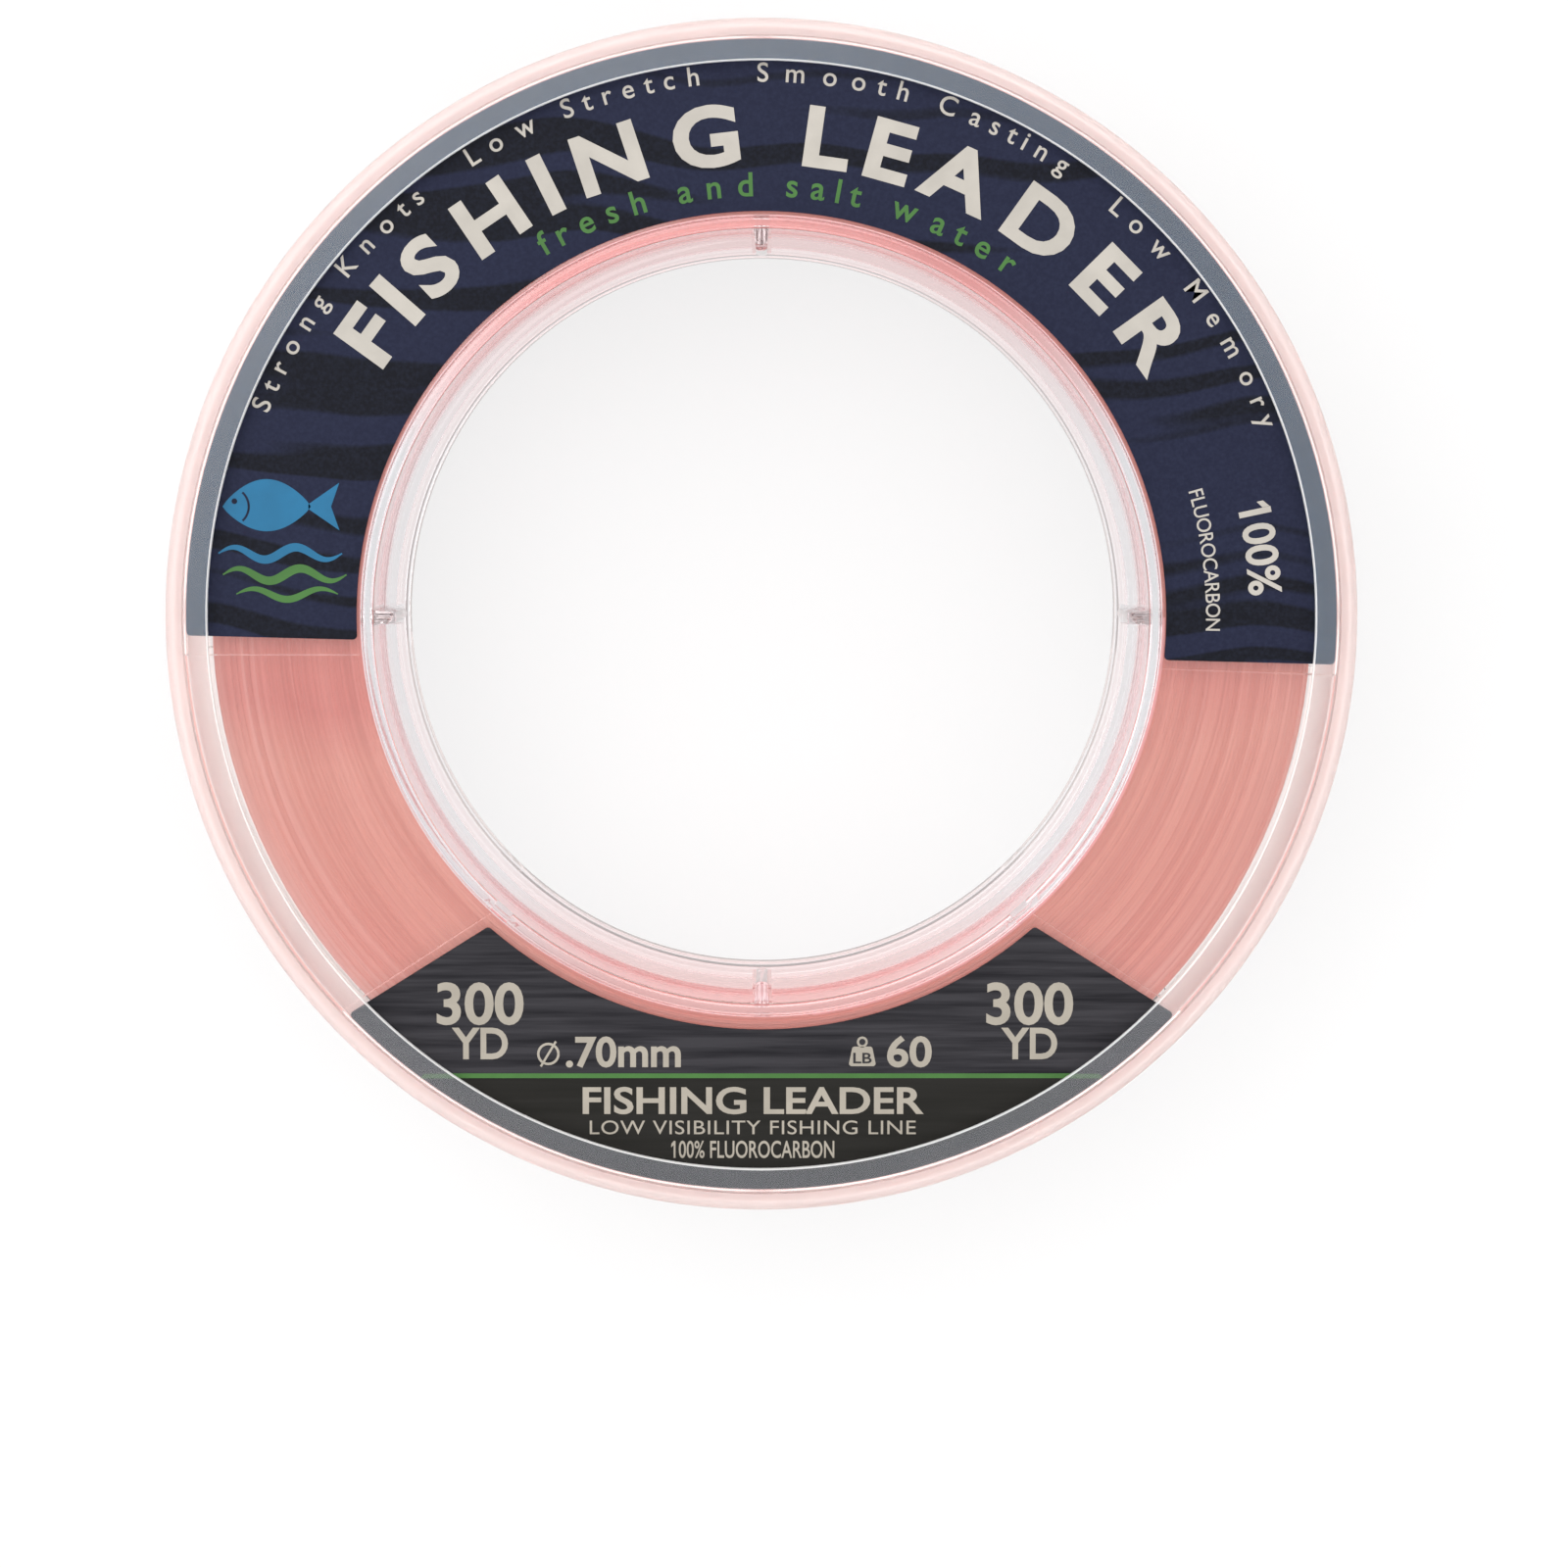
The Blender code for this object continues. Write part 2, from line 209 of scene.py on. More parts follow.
def rounded(corners, steps=5):
    """A closed outline from (x, y, fillet radius) corners."""
    outline = []
    for i, (x, y, radius) in enumerate(corners):
        corner = Vector((x, y))
        if not radius:
            outline.append((x, y))
            continue
        before = (Vector(corners[i - 1][:2]) - corner).normalized()
        after = (Vector(corners[(i + 1) % len(corners)][:2]) - corner).normalized()
        half = before.angle(after) / 2
        centre = corner + (before + after).normalized() * radius / math.sin(half)
        first = corner + before * radius / math.tan(half) - centre
        sweep = first.angle_signed(corner + after * radius / math.tan(half) - centre)
        for step in range(steps + 1):
            turn = Matrix.Rotation(-sweep * step / steps, 2)
            outline.append(tuple(centre + turn @ first))
    return outline


def new_piece(name, bm, finishes=(), smooth=True):
    """Links the bmesh as an object, with its faces turned outwards."""
    bmesh.ops.recalc_face_normals(bm, faces=bm.faces[:])
    mesh = bpy.data.meshes.new(name)
    bm.to_mesh(mesh)
    bm.free()
    for finish in finishes:
        mesh.materials.append(finish)
    piece = bpy.data.objects.new(name, mesh)
    bpy.context.scene.collection.objects.link(piece)
    if smooth:
        shade(piece)
    return piece


def shade(piece):
    """Smooth shading, with edges over 32 degrees kept sharp."""
    piece.data.shade_smooth()
    piece.data.set_sharp_from_angle(angle=math.radians(32))


def turned(name, corners, finishes=()):
    """A closed profile of (radius, z, fillet) corners, turned round the Z axis."""
    profile = rounded(corners)
    bm = bmesh.new()
    rings = []
    for step in range(SEGMENTS):
        angle = 360 * step / SEGMENTS
        rings.append([bm.verts.new((*polar(r, angle), z)) for r, z in profile])
    for step in range(SEGMENTS):
        here, there = rings[step], rings[(step + 1) % SEGMENTS]
        for k in range(len(profile)):
            n = (k + 1) % len(profile)
            bm.faces.new((here[k], there[k], there[n], here[n]))
    return new_piece(name, bm, finishes)


def prism(name, outline, low, high, bevel=0.0, finishes=(), top_outline=None):
    """A flat outline of (x, y) points, extruded from low to high, with its edges rounded.

    The top may have an outline of its own, with as many points.
    """
    bm = bmesh.new()
    ends = []
    for points, z in ((outline, low), (top_outline or outline, high)):
        ends.append([bm.verts.new((x, y, z)) for x, y in points])
    bottom, top = ends
    bm.faces.new(bottom)
    bm.faces.new(top)
    for k in range(len(bottom)):
        n = (k + 1) % len(bottom)
        bm.faces.new((bottom[k], bottom[n], top[n], top[k]))
    bmesh.ops.recalc_face_normals(bm, faces=bm.faces[:])
    if bevel:
        sharp = [e for e in bm.edges if e.calc_face_angle(0) > math.radians(40)]
        bmesh.ops.bevel(bm, geom=sharp, offset=bevel, segments=3, affect="EDGES", profile=0.5)
    return new_piece(name, bm, finishes, smooth=bool(bevel))


def block(name, angle, near, far, width, low, high, bevel=0.0):
    """A box along the radius at the given angle."""
    half = width / 2
    c, s = polar(1.0, angle)
    outline = [(r * c - t * s, r * s + t * c) for r, t in
               ((near, -half), (far, -half), (far, half), (near, half))]
    return prism(name, outline, low, high, bevel)


def band(inner, outer, ends, flare=0.0, radius=0.0, steps=None):
    """An arc band. flare turns each end's outer corner further out than its inner one, in degrees."""
    start, end = ends
    far = arc(outer, start - flare, end + flare, steps)
    near = arc(inner, end, start, steps)
    corners = [(x, y, 0.0) for x, y in far + near]
    for k in (0, len(far) - 1, len(far), len(corners) - 1):
        corners[k] = (*corners[k][:2], radius)
    return rounded(corners) if radius else far + near


def carve(piece, tools):
    """Applies (operation, tool) pairs to the piece and removes the tools."""
    for operation, tool in tools:
        change = piece.modifiers.new("carve", "BOOLEAN")
        change.operation = operation
        change.object = tool
    graph = bpy.context.evaluated_depsgraph_get()
    mesh = bpy.data.meshes.new_from_object(piece.evaluated_get(graph))
    piece.modifiers.clear()
    piece.data = mesh
    for _, tool in tools:
        bpy.data.objects.remove(tool)
    shade(piece)
    flatten = piece.modifiers.new("flatten", "WEIGHTED_NORMAL")
    flatten.keep_sharp = True


def mirrored_z(corners):
    """The same profile measured from the front face."""
    return [(r, WIDTH - z, fillet) for r, z, fillet in corners]


# Frosted cover.

def catch_beads(side, low):
    """Four beads inside the skirt that hold the flange. Returns them as tools."""
    near = FLANGE_RIM + BEAD_GAP
    far = RIM - FRONT_SKIRT + TONGUE_GAP / 2
    half = math.degrees(BEAD_LENGTH / FLANGE_RIM) / 2
    tools = []
    for angle in QUARTERS:
        middle = BEAD_ANGLES[side] + angle
        outline = band(near, far, (middle - half, middle + half))
        tools.append(("UNION", prism("bead", outline, low, low + BEAD_HEIGHT, BEAD_ROUND)))
    return tools


def lip_corners(rim):
    """The lip and outside corner that both rings share, from the skirt's inside round to its outside."""
    return [
        (LIP_HOLE, LIP, 0.25 * MM),
        (LIP_HOLE, 0.0, LIP_ROUND),
        (SKIRT_START, 0.0, 0.0),
        (rim, 0.0, 0.9 * MM),
    ]


def finish_lip(ring):
    """Gives the lip, and its inner edge that is painted lighter as a highlight, their own finishes: the
    second and third.
    """
    for face in ring.data.polygons:
        radius = math.hypot(*face.center[:2])
        if radius < LIP_HOLE + LIP_ROUND:
            face.material_index = 2
        elif radius < SKIRT_START:
            face.material_index = 1


def make_front_ring(finishes):
    """The ring whose skirt slides over the other's tongue."""
    bore = RIM - FRONT_SKIRT
    corners = lip_corners(RIM) + [
        (RIM, WIDTH - SEAM, 0.12 * MM),
        (bore, WIDTH - SEAM, 0.12 * MM),
        (bore, LIP, SOFT_EDGE),
    ]
    ring = turned("frosted_front_ring", mirrored_z(corners), finishes)
    low = WIDTH - FLANGE_FACE - FLANGE - TOUCH - BEAD_HEIGHT
    outlet = block("outlet", OUTLET_ANGLE, bore - MM, RIM + MM, OUTLET,
                   SEAM - MM, SEAM + OUTLET, 0.3 * MM)
    carve(ring, catch_beads("front", low) + [("DIFFERENCE", outlet)])
    finish_lip(ring)
    return ring


def make_rear_ring(finishes):
    """The ring with the tongue."""
    tongue = RIM - FRONT_SKIRT - TONGUE_GAP
    bore = tongue - REAR_TONGUE
    shoulder = SEAM - TOUCH
    top = shoulder + TONGUE_STEP
    slope_in, slope_height = SHOULDER_SLOPE
    corners = lip_corners(REAR_RIM) + [
        (REAR_RIM, shoulder - slope_height, 0.3 * MM),
        (REAR_RIM - slope_in, shoulder, 0.08 * MM),
        (tongue, shoulder, 0.1 * MM),
        (tongue, top, FINE_EDGE),
        (bore, top, FINE_EDGE),
        (bore, LIP, SOFT_EDGE),
    ]
    ring = turned("frosted_rear_ring", corners, finishes)
    low = FLANGE_FACE + FLANGE + TOUCH
    outlet = block("outlet", OUTLET_ANGLE, bore - MM, RIM + MM, OUTLET,
                   SEAM + TOUCH, top + MM, 0.2 * MM)
    carve(ring, catch_beads("rear", low) + [("DIFFERENCE", outlet)])
    finish_lip(ring)
    return ring


# Clear halves.

def finish_half(half, keyed):
    """Gives the bore's wall, the flange beyond the line and any keys their own finishes.

    They are the second, the third and the fourth.
    """
    on_wall = BORE + 0.05 * MM
    on_key = BORE - 0.2 * MM
    for face in half.data.polygons:
        radii = [math.hypot(*half.data.vertices[i].co[:2]) for i in face.vertices]
        if keyed and sum(radii) / len(radii) < on_key:
            face.material_index = 3
        elif max(radii) < on_wall:
            face.material_index = 1
        elif min(radii) > LINE_RIM:
            face.material_index = 2


def flange_corners():
    """The flange and collar that both halves share, from the flange's back to the collar's top."""
    face, back = FLANGE_FACE, FLANGE_FACE + FLANGE
    return [
        (LIP_HOLE, back, 0.0),
        (FLANGE_RIM, back, SOFT_EDGE),
        (FLANGE_RIM, face, SOFT_EDGE),
        (COLLAR + 0.25 * MM, face, 0.2 * MM),
        (COLLAR, TOUCH, 0.3 * MM),
    ]


def recess_tools(side, low, high):
    """The two shallow recesses that the labels lie in. Their end walls lean out."""
    shapes = (
        (UPPER_ENDS[0] - UPPER_MARGINS[0], UPPER_ENDS[1] + UPPER_MARGINS[1], UPPER_RECESS_FLARE),
        (LOWER_ENDS[0] - LOWER_MARGIN, LOWER_ENDS[1] + LOWER_MARGIN, LOWER_FLARE),
    )
    tools = []
    for start, end, flare in shapes:
        outlines = []
        for lean in (0.0, RECESS_LEAN):
            ends = (start - lean, end + lean)
            outlines.append(band(RECESS_HOLE, RIM, ends, flare, steps=SEGMENTS // 2))
        if side == "rear":
            outlines.reverse()
        tools.append(("DIFFERENCE", prism("recess", outlines[0], low, high, top_outline=outlines[1])))
    return tools


def key_tool(angle):
    """A tapered rib on the bore, chamfered at the rim, with a bullet-shaped inner end."""
    front = COLLAR_TOP - TOUCH
    neck = front - KEY_LENGTH + KEY_POINT
    crest = BORE - KEY_HEIGHT
    root = BORE + KEY_IN_WALL
    c, s = polar(1.0, angle)
    stations = [(front, 1.0, KEY_CHAMFER), (neck, 1.0, 0.0)]
    for k in KEY_POINT_STEPS:
        stations.append((neck - KEY_POINT * k, math.sqrt(1 - k * k), 0.0))
    bm = bmesh.new()
    rings = []
    for z, scale, chamfer in stations:
        section = []
        for r, share in ((root, 1.0), (crest + CREST_ROUND, CREST_SHARE), (crest, 0.0)):
            half = scale * (KEY_TIP + (KEY_ROOT - KEY_TIP) * share) / 2
            back = chamfer * (root - r) / (root - crest)
            section.append((r, half if r > crest else CREST_FLAT * half, z - back))
        section += [(r, -t, back) for r, t, back in reversed(section)]
        rings.append([bm.verts.new((r * c - t * s, r * s + t * c, h)) for r, t, h in section])
    for first, second in zip(rings, rings[1:]):
        for k in range(len(first)):
            n = (k + 1) % len(first)
            bm.faces.new((first[k], first[n], second[n], second[k]))
    bm.faces.new(rings[0])
    bm.faces.new(rings[-1])
    bmesh.ops.triangulate(bm, faces=bm.faces[:])
    return new_piece("key", bm, smooth=False)


def make_front_half(finishes):
    """The half whose sleeve the line is wound on."""
    end = WIDTH - SLEEVE_END
    corners = [
        (BORE, end, FINE_EDGE),
        (BARREL, end, FINE_EDGE),
        (BARREL, FLANGE_FACE + FLANGE, 0.3 * MM),
    ] + flange_corners() + [(BORE, TOUCH, 0.4 * MM)]
    half = turned("clear_front_half", mirrored_z(corners), finishes)
    tools = recess_tools("front", WIDTH - FLANGE_FACE - RECESS, WIDTH)
    for angle in NOTCH_ANGLES:
        tools.append(("DIFFERENCE", block("notch", angle, BORE - MM, RECESS_HOLE, NOTCH_WIDTH,
                                          COLLAR_TOP - NOTCH_DEPTH, WIDTH, 0.1 * MM)))
    for angle in QUARTERS:
        tools.append(("UNION", key_tool(angle)))
    carve(half, tools)
    finish_half(half, keyed=True)
    return half


def make_rear_half(finishes):
    """The half whose sleeve plugs into the other, with a keyway for each key."""
    outer = BORE - TOUCH
    low, high = PLUG_BORE
    corners = [
        (high, PLUG_TOP, FINE_EDGE),
        (outer, PLUG_TOP, 0.3 * MM),
        (outer, FLANGE_FACE + FLANGE, 0.2 * MM),
    ] + flange_corners() + [(low, TOUCH, SOFT_EDGE)]
    half = turned("clear_rear_half", corners, finishes)
    tools = recess_tools("rear", 0.0, FLANGE_FACE + RECESS)
    tip = COLLAR_TOP - TOUCH - KEY_LENGTH
    for angle in QUARTERS:
        tools.append(("DIFFERENCE", block("keyway", angle, low - MM, outer + TOUCH / 2, KEYWAY,
                                          tip - TOUCH, PLUG_TOP + MM, FINE_EDGE)))
    carve(half, tools)
    finish_half(half, keyed=False)
    return half


# Line.

def add_strand(bm, path):
    """A round strand along a path of (radius, degrees, z) points that runs round the axis."""
    rings = []
    for r, degrees, z in path:
        c, s = polar(1.0, degrees)
        ring = []
        for k in range(STRAND_SIDES):
            out, up = polar(STRAND / 2, 360 * k / STRAND_SIDES)
            ring.append(bm.verts.new(((r + out) * c, (r + out) * s, z + up)))
        rings.append(ring)
    for first, second in zip(rings, rings[1:]):
        for k in range(STRAND_SIDES):
            n = (k + 1) % STRAND_SIDES
            bm.faces.new((first[k], second[k], second[n], first[n]))
    bm.faces.new(rings[0])
    bm.faces.new(rings[-1])


def layer_path(radius, low, high, wander):
    """One level-wound layer, from flange to flange."""
    turns = int((high - low) / STRAND)
    path = []
    for i in range(turns * LAYER_STEPS + 1):
        turn = i / LAYER_STEPS
        z = low + (high - low) * turn / turns
        drift = noise.noise(Vector((turn * LAYER_NOISE[0], radius * LAYER_NOISE[1], 0.0))) * wander
        path.append((radius + drift, 360 * turn, z))
    return path


def edge_path(radius, gap, face, inward, start):
    """The one turn of a layer that lies against a flange: it comes up, runs round and dips away."""
    path = []
    for i in range(EDGE_STEPS + 1):
        share = i / EDGE_STEPS
        ends = max(0.0, 1 - min(share, 1 - share) / RISE_SHARE)
        along = Vector((radius * EDGE_NOISE[0], share * EDGE_NOISE[1], start))
        wander = noise.noise(along) * EDGE_WANDER
        depth = EDGE_DEPTH * (1 + noise.noise(along * DEPTH_NOISE)) + ends ** 2 * EDGE_SINK
        climb = max(0.0, share - 1 + CLIMB_SHARE) / CLIMB_SHARE * gap
        path.append((radius + wander + climb, start + EDGE_TURN * share, face + inward * depth))
    return path


def make_line(finishes):
    """The wound line: its inner and outer layers, and every layer's turn against each flange."""
    half = STRAND / 2
    inner, outer = BARREL + TOUCH + half, LINE_RIM - half
    low, high = LINE_LOW + half, LINE_HIGH - half
    pitch = (outer - inner) / (LAYERS - 1)
    core = [
        (inner - CORE_RISE, low - CORE_RISE, 0.0),
        (outer + CORE_RISE, low - CORE_RISE, 0.0),
        (outer + CORE_RISE, high + CORE_RISE, 0.0),
        (inner - CORE_RISE, high + CORE_RISE, 0.0),
    ]
    line = turned("wound_line", core, finishes)
    bm = bmesh.new()
    bm.from_mesh(line.data)
    add_strand(bm, layer_path(outer, low, high, OUTER_WANDER))
    add_strand(bm, layer_path(inner, low, high, 0.0))
    draw = random.Random(7)
    for i in range(1, LAYERS - 1):
        radius = inner + i * pitch
        add_strand(bm, edge_path(radius, pitch, high, -1, draw.uniform(0, 360)))
        add_strand(bm, edge_path(radius, pitch, low, 1, draw.uniform(0, 360)))
    bmesh.ops.recalc_face_normals(bm, faces=bm.faces[:])
    bm.to_mesh(line.data)
    bm.free()
    # The innermost turns take the second finish, the copy with the stronger painted glow.
    for face in line.data.polygons:
        if math.hypot(*face.center[:2]) < inner + half:
            face.material_index = 1
    shade(line)
    return line


def make_tape(finish):
    """A short strip over the end of the line."""
    low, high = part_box("tag_end_tape")
    near = LINE_RIM + TAPE_GAP
    start = math.degrees(math.atan2(low.y, low.x))
    length = math.degrees((high.x - low.x) / near)
    outline = band(near, near + TAPE, (start, start + length))
    return prism("end_tape", outline, low.z, high.z, TAPE_ROUND, [finish])


# Labels. The print is drawn as seen from outside, on the front face, and turned over for the rear one.

def new_text(text, cap, spacing, stretch, weight):
    """Flat letters: islands of (points, faces), with capitals cap high, on the line y = 0, from x = 0."""
    curve = bpy.data.curves.new("lettering", "FONT")
    curve.body = text
    curve.space_character = spacing
    curve.offset = weight
    curve.resolution_u = 5
    holder = bpy.data.objects.new("lettering", curve)
    bpy.context.scene.collection.objects.link(holder)
    graph = bpy.context.evaluated_depsgraph_get()
    mesh = bpy.data.meshes.new_from_object(holder.evaluated_get(graph))
    bpy.data.objects.remove(holder)
    scale = cap / CAP_SHARE
    points = [(v.co.x * scale * stretch, v.co.y * scale) for v in mesh.vertices]
    faces = [list(p.vertices) for p in mesh.polygons]
    bpy.data.meshes.remove(mesh)
    shapes = islands(points, faces)
    if text.startswith("1"):
        shapes += one_flag(min(x for x, _ in points), cap)
    return shapes


def one_flag(left, cap):
    """The flag of a leading figure 1, which is a plain bar in the built-in font."""
    return shape([
        (left, cap),
        (left - 0.22 * cap, 0.83 * cap),
        (left - 0.22 * cap, 0.62 * cap),
        (left, 0.77 * cap),
    ])


def islands(points, faces):
    """Splits flat faces into the connected shapes that they make."""
    owner = list(range(len(points)))

    def root(i):
        while owner[i] != i:
            i = owner[i]
        return i

    for face in faces:
        for other in face[1:]:
            owner[root(other)] = root(face[0])
    groups = {}
    for face in faces:
        groups.setdefault(root(face[0]), []).append(face)
    made = []
    for group in groups.values():
        used = sorted({i for face in group for i in face})
        index = {old: new for new, old in enumerate(used)}
        made.append(([points[i] for i in used], [[index[i] for i in face] for face in group]))
    return made


def extent(shapes):
    """The lowest and the highest x of some shapes."""
    xs = [x for points, _ in shapes for x, _ in points]
    return min(xs), max(xs)


def straight_text(text, x, y, cap, width, spacing=1.0, weight=0.0):
    """Letters on a straight line that starts at (x, y) and is width long."""
    shapes = new_text(text, cap, spacing, 1.0, weight)
    low, high = extent(shapes)
    fit = width / (high - low)
    return [([(x + (px - low) * fit, y + py) for px, py in points], faces) for points, faces in shapes]


def arc_text(text, radius, start, end, cap, stretch=1.0, weight=0.0):
    """Letters round an arc, read clockwise, each turned as a whole. start and end are in degrees."""
    shapes = new_text(text, cap, 1.0, stretch, weight)
    low, high = extent(shapes)
    made = []
    for points, faces in shapes:
        left = min(x for x, _ in points)
        right = max(x for x, _ in points)
        middle = (left + right) / 2
        angle = start + (end - start) * (middle - low) / (high - low)
        turn = Matrix.Rotation(math.radians(angle - 90), 2)
        placed = []
        for x, y in points:
            placed.append(tuple(turn @ Vector((x - middle, radius + y))))
        made.append((placed, faces))
    return made


def shape(outline):
    """One flat shape from an outline of (x, y) points."""
    return [(list(outline), [list(range(len(outline)))])]


def stripe(centres, widths):
    """A flat stripe along a list of centre points, with a width at each."""
    above, below = [], []
    for i, (x, y) in enumerate(centres):
        ahead = Vector(centres[min(i + 1, len(centres) - 1)]) - Vector(centres[max(i - 1, 0)])
        side = ahead.normalized().orthogonal() * widths[i] / 2
        above.append((x + side.x, y + side.y))
        below.append((x - side.x, y - side.y))
    faces = []
    count = len(centres)
    for i in range(count - 1):
        faces.append([i, i + 1, count + i + 1, count + i])
    return [(above + below, faces)]


def wave(x, y, length, height, thickness, periods):
    """A flat ripple that tapers at both ends."""
    steps = 48
    centres, widths = [], []
    for i in range(steps + 1):
        share = i / steps
        centres.append((x + length * share, y + height * math.sin(2 * math.pi * periods * share)))
        widths.append(thickness * max(0.06, math.sin(math.pi * share)) ** 0.6)
    return stripe(centres, widths)


def fish(x, y, length):
    """A plain fish: a lens-shaped body and a forked tail, and the marks on it: an eye and a gill."""
    steps = 24
    trunk = 0.74 * length
    depth = 0.23 * length
    upper, lower = [], []
    for i in range(steps + 1):
        share = i / steps
        half = depth * math.sin(math.pi * share) ** 0.8
        upper.append((x + trunk * share, y + half))
        lower.append((x + trunk * share, y - half * 0.9))
    body = shape(upper + lower[-2:0:-1])
    ring = [polar(0.024 * length, a) for a in range(0, 360, 30)]
    eye = shape([(x + 0.1 * length + px, y + 0.045 * length + py) for px, py in ring])
    bend = [polar(0.16 * length, a) for a in range(-48, 49, 8)]
    gill = stripe([(x + 0.06 * length + px, y + py) for px, py in bend], [0.018 * length] * len(bend))
    root = x + 0.72 * length
    tail = shape([
        (root, y + 0.02 * length),
        (root + 0.26 * length, y + 0.2 * length),
        (root + 0.19 * length, y),
        (root + 0.26 * length, y - 0.2 * length),
        (root, y - 0.02 * length),
    ])
    return body + tail, eye + gill


def press_ink(bm, shapes, low, slot):
    """Adds flat shapes to the label as closed ink, a little proud of the film."""
    count = len(bm.faces)
    for points, faces in shapes:
        verts = [bm.verts.new((x, y, low)) for x, y in points]
        for face in faces:
            bm.faces.new([verts[i] for i in face])
    bm.faces.ensure_lookup_table()
    flat = bm.faces[count:]
    grown = bmesh.ops.extrude_face_region(bm, geom=flat)["geom"]
    top = [v for v in grown if isinstance(v, bmesh.types.BMVert)]
    bmesh.ops.translate(bm, verts=top, vec=(0, 0, INK))
    bm.faces.ensure_lookup_table()
    for face in bm.faces[count:]:
        face.material_index = slot


def make_label(name, side, outline, layers, finishes):
    """A label film with its ink. layers are (shapes, slot, coat), and slot 0 is the film itself.

    The films are in line on both faces, so the rear one's outline is mirrored before it is turned over.
    """
    low, high = level("front_upper_label")
    sign = 1 if side == "front" else -1
    film = prism(name, [(sign * x, y) for x, y in outline], low, high)
    bm = bmesh.new()
    bm.from_mesh(film.data)
    bpy.data.objects.remove(film)
    for shapes, slot, coat in layers:
        press_ink(bm, shapes, high + coat * INK, slot)
    if side == "rear":
        over = Matrix.Translation((0, 0, WIDTH)) @ Matrix.Rotation(math.pi, 4, "Y")
        bmesh.ops.transform(bm, matrix=over, verts=bm.verts[:])
    return new_piece(name, bm, finishes, smooth=False)


def upper_layers():
    """The upper label's print: three arcs of words, a plain fish over waves, and the material."""
    cream = arc_text("FISHING LEADER", 51.4 * MM, 147.5, 30.5, 6.3 * MM, stretch=1.16, weight=0.034)
    cream += arc_text("Strong Knots   Low Stretch   Smooth Casting   Low Memory",
                      60.4 * MM, 158.0, 20.0, 2.1 * MM, weight=0.008)
    cream += arc_text("100%", 55.4 * MM, 13.2, 2.6, 3.5 * MM, stretch=0.95, weight=0.02)
    cream += arc_text("FLUOROCARBON", 50.4 * MM, 16.4, -1.6, 1.6 * MM, stretch=0.9, weight=0.004)
    green = arc_text("fresh and salt water", 47.6 * MM, 121.5, 53.5, 2.6 * MM, weight=0.014)
    blue, marks = fish(-61.0 * MM, 12.6 * MM, 13.5 * MM)
    blue += wave(-61.5 * MM, 7.3 * MM, 14.0 * MM, 0.7 * MM, 1.0 * MM, 2)
    green += wave(-61.0 * MM, 4.9 * MM, 14.0 * MM, 0.7 * MM, 1.0 * MM, 2)
    green += wave(-59.5 * MM, 2.7 * MM, 11.5 * MM, 0.6 * MM, 0.8 * MM, 1.5)
    return [(cream, 1, 0), (green, 2, 0), (blue, 3, 0), (marks, 0, 1)]


def weight_icon(x, y, height):
    """A scale weight: a trapezium with a round handle."""
    body = shape(rounded([
        (x, y, 0.3 * MM),
        (x + height * 0.96, y, 0.3 * MM),
        (x + height * 0.82, y + height * 0.68, 0.3 * MM),
        (x + height * 0.14, y + height * 0.68, 0.3 * MM),
    ]))
    middle = x + height * 0.48
    ring = [polar(height * 0.15, a) for a in range(0, 361, 20)]
    loop = [(middle + px, y + height * 0.84 + py) for px, py in ring]
    handle = stripe(loop, [height * 0.08] * len(ring))
    return body, handle


def diameter_sign(x, y, radius):
    """A circle and the slash through it, as two shapes."""
    ring = [polar(radius, a) for a in range(0, 361, 15)]
    circle = stripe([(x + px, y + py) for px, py in ring], [0.28 * MM] * len(ring))
    slant = [(-0.75, -1.25), (0.75, 1.25)]
    slash = stripe([(x + radius * px, y + radius * py) for px, py in slant], [0.26 * MM] * 2)
    return circle, slash


def lower_layers():
    """The lower label's print: length, diameter and strength over a green rule, and three plain lines."""
    cream = []
    for left in (-37.0 * MM, 25.6 * MM):
        cream += straight_text("300", left, -46.2 * MM, 4.5 * MM, 9.9 * MM, weight=0.022)
        cream += straight_text("YD", left + 1.7 * MM, -50.2 * MM, 3.4 * MM, 6.4 * MM, weight=0.022)
    row = -51.1 * MM
    circle, slash = diameter_sign(-24.3 * MM, row + 1.4 * MM, 1.15 * MM)
    cream += circle
    cream += straight_text(".70mm", -22.3 * MM, row, 3.25 * MM, 13.1 * MM, weight=0.024)
    body, handle = weight_icon(9.9 * MM, row, 3.3 * MM)
    cream += body + handle
    dark = straight_text("LB", 10.45 * MM, row + 0.35 * MM, 1.15 * MM, 2.1 * MM, weight=0.015)
    cream += straight_text("60", 14.3 * MM, row, 3.3 * MM, 5.1 * MM, weight=0.022)
    cream += straight_text("FISHING LEADER", -20.4 * MM, -56.5 * MM, 2.9 * MM, 38.9 * MM, weight=0.02)
    cream += straight_text("LOW VISIBILITY FISHING LINE",
                           -19.6 * MM, -58.9 * MM, 1.55 * MM, 37.2 * MM, spacing=1.05)
    cream += straight_text("100% FLUOROCARBON", -10.3 * MM, -61.6 * MM, 1.9 * MM, 18.6 * MM, weight=0.01)
    half = math.sqrt((RIM - 2.4 * MM) ** 2 - RULE_Y ** 2)
    low, high = RULE_Y - RULE_WIDTH / 2, RULE_Y + RULE_WIDTH / 2
    rule = shape([(-half, low), (half, low), (half - 0.4 * MM, high), (0.4 * MM - half, high)])
    return [(cream, 1, 0), (rule, 2, 0), (slash, 1, 1), (dark, 3, 1)]


# Materials.

def link(tree, source, target):
    """Joins an output to an input."""
    tree.links.new(source, target)


def node(tree, kind, values=(), **settings):
    """A new node with its input values and its settings."""
    made = tree.nodes.new(kind)
    for key, value in settings.items():
        setattr(made, key, value)
    for key, value in dict(values).items():
        made.inputs[key].default_value = value
    return made


